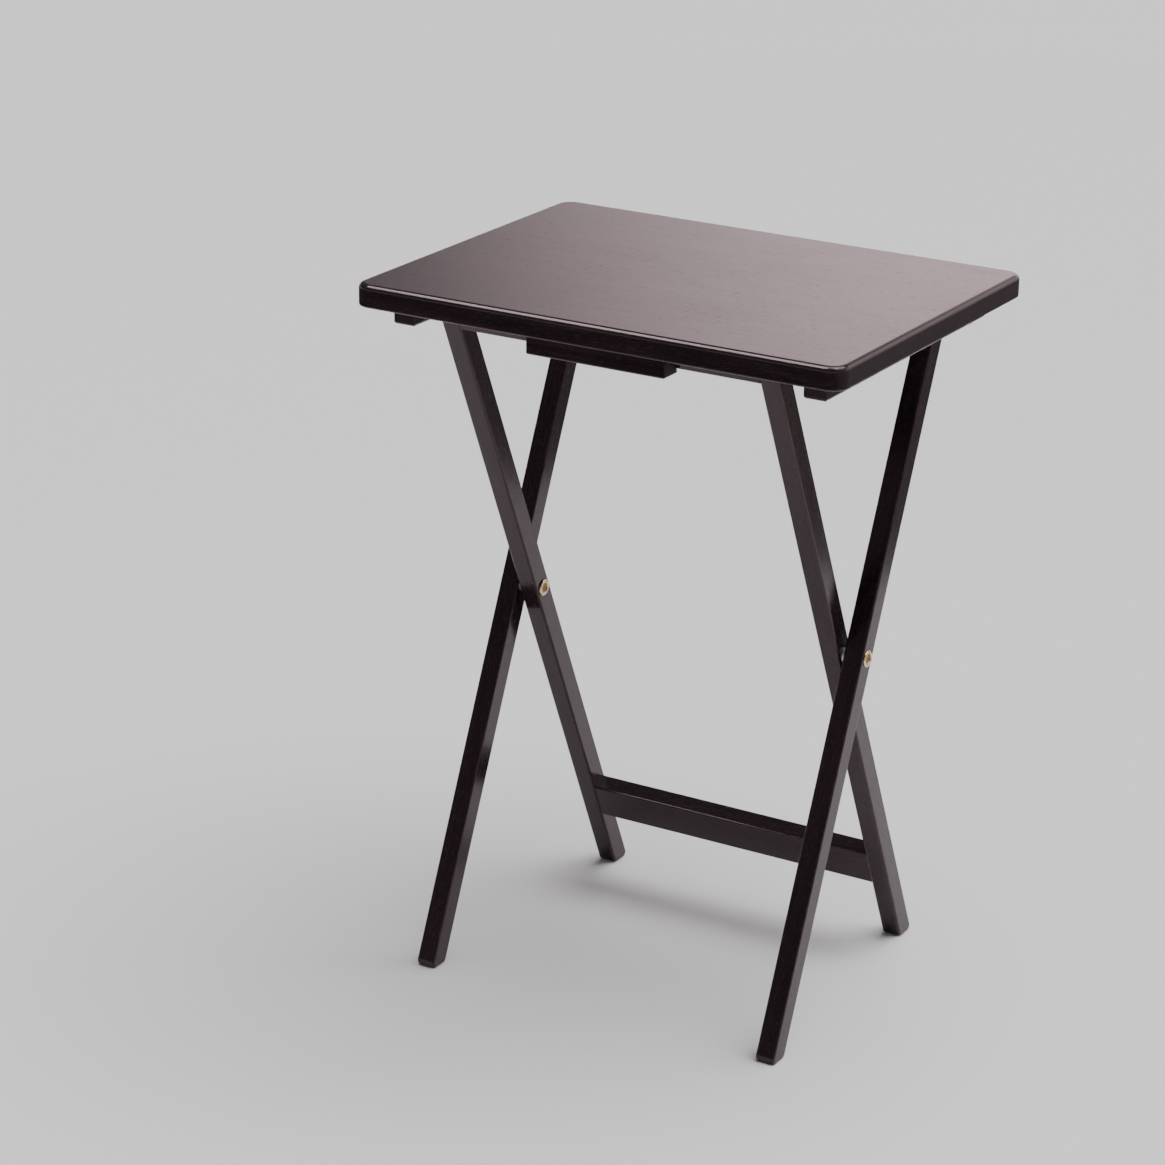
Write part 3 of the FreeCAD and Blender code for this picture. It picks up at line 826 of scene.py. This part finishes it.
def wood_screw(name, long, hardware):
    """A flat-headed wood screw that points down from its head at the origin."""
    screw = turned_piece(name, wood_screw_profile(long, hardware), hardware.screw_segments)
    for turn in (0, 90):
        cut_away(screw, cross_blade(turn))
    soften(screw, 0.06 * MM, 2)
    return screw


class TRAYTABLE_OT_screws(Operator):
    """Model the cross-headed wood screws of the cleats and the batten"""

    bl_idname = "traytable.screws"
    bl_label = "Model Screws"

    def execute(self, context):
        hardware = context.scene.tray_hardware
        finish = context.scene.tray_metal
        zinc = material_called("zinc_plated_steel", zinc_material, finish)
        facing = Vector((0, 0, -1))
        for node in ("cleat_screws", "batten_screws"):
            places, long = screw_places(node, facing, hardware)
            first = wood_screw(f"{node}_1", long, hardware)
            screws = [first]
            screws += [
                copy_of(first, f"{node}_{number}") for number in range(2, len(places) + 1)
            ]
            for number, (screw, spot) in enumerate(zip(screws, places)):
                driven_to = math.radians(12 + 37 * number)
                turn = Matrix.Rotation(driven_to, 3, "Z")
                settle(screw, pointing(facing) @ turn, spot)
            deselect_all()
            for screw in screws:
                screw.select_set(True)
            bpy.context.view_layer.objects.active = first
            bpy.ops.object.join()
            first.name = f"cross_head_{node}"
            finish_with(first, zinc)
            stand_for(first, node)
        return {"FINISHED"}


def screw_places(node, facing, hardware):
    """Where the heads of a group of screws are, and how long the screws are."""
    mesh = frame["nodes"][node].data
    depths = [vertex.co.dot(facing) for vertex in mesh.vertices]
    top = max(depths)
    same_head = 3 * hardware.screw_head
    heads = []
    for vertex, depth in zip(mesh.vertices, depths):
        if depth < top - 0.01 * MM:
            continue
        near = [head for head in heads if (vertex.co - head[0]).length < same_head]
        if near:
            near[0].append(vertex.co.copy())
        else:
            heads.append([vertex.co.copy()])
    places = []
    for rim in heads:
        low = Vector(min(spot[i] for spot in rim) for i in range(3))
        high = Vector(max(spot[i] for spot in rim) for i in range(3))
        places.append((low + high) / 2)
    return places, top - min(depths)


# Lights that only show in the gloss: the place, the width and depth, and the watts. They
# face one point, in the tray.
GLOSS_LIGHTS = {
    "overhead_softbox": ((-0.88, -0.62, 2.75), (1.4, 1.6), 72),
    "overhead_lamp": ((0.86, -0.12, 2.75), (0.28, 0.28), 7),
}
LIT_POINT = Vector((0, 0, 0.65))

# The world's colours, and the way to the right-hand end of the backdrop.
DIM_ROOM = (0.14, 0.135, 0.15)
LIT_BACKDROP = (2.3, 1.84, 1.88)
PALE_HORIZON = (1.12, 1.12, 1.12)
RIGHTWARDS = Vector((0.87, 0.50, 0.0))


class TRAYTABLE_OT_studio(Operator):
    """Set up the floor, the lights and the camera"""

    bl_idname = "traytable.studio"
    bl_label = "Set Up Studio"

    def execute(self, context):
        studio = context.scene.tray_studio
        make_floor(studio)
        make_painted_shade_surround(studio)
        make_world(context.scene)
        make_ceiling(studio)
        for name, (place, size, power) in GLOSS_LIGHTS.items():
            make_gloss_light(name, place, size, power)
        make_camera(context.scene, studio)
        return {"FINISHED"}


def make_floor(studio):
    deselect_all()
    bpy.ops.mesh.primitive_plane_add(size=studio.floor_size)
    floor = bpy.context.object
    floor.name = "studio_floor"
    material, graph = new_graph("pale_floor")
    place = graph.node("ShaderNodeTexCoord")["Object"]
    mottle = graph.noise(graph.stretched(place, *FLOOR_MOTTLE), 2.0)
    darker = [0.985 * channel for channel in studio.floor]
    base = graph.mix(mottle, studio.floor, darker)
    graph.surface({"Base Color": base, "Roughness": 0.75 + 0.1 * mottle})
    finish_with(floor, material)


def make_painted_shade_surround(studio):
    """A dark ring on the floor, unseen by the camera, that the lacquer mirrors: painted shade that stands for the
    unlit surroundings, seen only in reflections. It keeps the upright faces deep, as the dark end of a studio
    does."""
    deselect_all()
    bpy.ops.mesh.primitive_circle_add(
        vertices=64,
        radius=studio.surround_outer,
        fill_type="NGON",
        location=(0, 0, studio.surround_height),
    )
    ring = bpy.context.object
    ring.name = "painted_shade_surround"
    bpy.ops.object.mode_set(mode="EDIT")
    bpy.ops.mesh.select_all(action="SELECT")
    bpy.ops.mesh.inset(thickness=studio.surround_outer - studio.surround_inner)
    bpy.ops.mesh.delete(type="FACE")
    bpy.ops.object.mode_set(mode="OBJECT")
    material, graph = new_graph("painted_shade_ring")
    place = graph.node("ShaderNodeTexCoord")["Object"]
    painted_shade_mottle = graph.noise(graph.stretched(place, *PAINTED_SHADE_MOTTLE), 2.0)
    # Painted shade: a dark, slightly mottled colour that only the lacquer's reflections show.
    graph.surface({"Base Color": graph.mix(painted_shade_mottle, studio.painted_shade_dark, studio.painted_shade_pale)})
    finish_with(ring, material)
    ring.visible_camera = False
    ring.visible_diffuse = False
    ring.visible_shadow = False


def make_world(scene):
    """A dim studio with a lit backdrop behind the table, brightest towards the right. At
    the horizon the walls are as pale as the floor."""
    world = bpy.data.worlds.new("studio_world")
    scene.world = world
    graph = Graph(world)
    place = graph.node("ShaderNodeTexCoord")["Generated"]
    split = graph.node("ShaderNodeSeparateXYZ", None, {"Vector": place})
    aside = {0: place, 1: RIGHTWARDS}
    right = graph.node("ShaderNodeVectorMath", {"operation": "DOT_PRODUCT"}, aside)["Value"]
    behind = split["Y"].between(0.25, 0.75)
    low = 1 - split["Z"].between(0.35, 0.55)
    lit = right.between(-0.115, 0.10) * behind * low
    walls = graph.mix(lit, DIM_ROOM, LIT_BACKDROP)
    tone = graph.mix(split["Z"].between(0.06, 0.17), PALE_HORIZON, walls)
    light = graph.node("ShaderNodeBackground", None, {"Color": tone, "Strength": 1.0})
    graph.node("ShaderNodeOutputWorld", None, {"Surface": light["Background"]})


def make_ceiling(studio):
    """Even light from a wide patch of the ceiling, a little to the right and behind."""
    sun = bpy.data.lights.new("ceiling", "SUN")
    sun.energy = studio.ceiling_strength
    sun.angle = studio.ceiling_spread
    holder = bpy.data.objects.new("ceiling", sun)
    bpy.context.scene.collection.objects.link(holder)
    holder.rotation_euler = Vector((0.30, 0.20, 1.0)).to_track_quat("Z", "Y").to_euler()


def make_gloss_light(name, place, size, power):
    """A soft rectangular light above the tray, long from front to rear, that faces it."""
    light = bpy.data.lights.new(name, "AREA")
    light.shape = "RECTANGLE"
    light.size, light.size_y = size
    light.energy = power
    holder = bpy.data.objects.new(name, light)
    bpy.context.scene.collection.objects.link(holder)
    back = (Vector(place) - LIT_POINT).normalized()
    side = ALONG_Y.cross(back).normalized()
    axes = Matrix((side, back.cross(side), back)).transposed()
    holder.matrix_world = Matrix.Translation(place) @ axes.to_4x4()
    holder.visible_camera = False
    holder.visible_diffuse = False


def make_camera(scene, studio):
    camera = bpy.data.cameras.new("studio_camera")
    camera.lens = studio.lens
    camera.sensor_width = 36
    camera.sensor_fit = "HORIZONTAL"
    camera.clip_end = 200
    holder = bpy.data.objects.new("studio_camera", camera)
    scene.collection.objects.link(holder)
    level = math.cos(studio.elevation)
    sight = Vector(
        (
            -math.sin(studio.azimuth) * level,
            math.cos(studio.azimuth) * level,
            -math.sin(studio.elevation),
        )
    )
    right = Vector((math.cos(studio.azimuth), math.sin(studio.azimuth), 0))
    up = right.cross(sight)
    axes = Matrix((right, up, -sight)).transposed() @ Matrix.Rotation(studio.roll, 3, "Z")
    place = Vector(studio.aim) - studio.distance * sight
    holder.matrix_world = Matrix.Translation(place) @ axes.to_4x4()
    scene.camera = holder


# ------------------------------------------------------------------ panel


class TRAYTABLE_PT_sidebar(Panel):
    """Lists the steps that finish the table"""

    bl_label = "Tray Table"
    bl_idname = "TRAYTABLE_PT_sidebar"
    bl_space_type = "VIEW_3D"
    bl_region_type = "UI"
    bl_category = "Tray Table"

    def draw(self, context):
        for step in STEPS:
            self.layout.operator(step.bl_idname)
        for group in SETTINGS:
            box = self.layout.box()
            settings = getattr(context.scene, group)
            for name in settings.__annotations__:
                box.prop(settings, name)


STEPS = (
    TRAYTABLE_OT_wood,
    TRAYTABLE_OT_dowels,
    TRAYTABLE_OT_washers,
    TRAYTABLE_OT_crossing_bolts,
    TRAYTABLE_OT_hinge_bolts,
    TRAYTABLE_OT_screws,
    TRAYTABLE_OT_studio,
)
SETTINGS = {
    "tray_wood": WoodFinish,
    "tray_metal": MetalFinish,
    "tray_hardware": Hardware,
    "tray_studio": Studio,
}


def register():
    for group in SETTINGS.values():
        bpy.utils.register_class(group)
    for step in (*STEPS, TRAYTABLE_PT_sidebar):
        bpy.utils.register_class(step)
    for name, group in SETTINGS.items():
        setattr(bpy.types.Scene, name, PointerProperty(type=group))


def unregister():
    for name in SETTINGS:
        delattr(bpy.types.Scene, name)
    for step in (TRAYTABLE_PT_sidebar, *reversed(STEPS)):
        bpy.utils.unregister_class(step)
    for group in reversed(SETTINGS.values()):
        bpy.utils.unregister_class(group)


def main():
    register()
    bpy.ops.traytable.wood()
    bpy.ops.traytable.dowels()
    bpy.ops.traytable.washers()
    bpy.ops.traytable.crossing_bolts()
    bpy.ops.traytable.hinge_bolts()
    bpy.ops.traytable.screws()
    bpy.ops.traytable.studio()
    deselect_all()


if __name__ == "__main__":
    main()
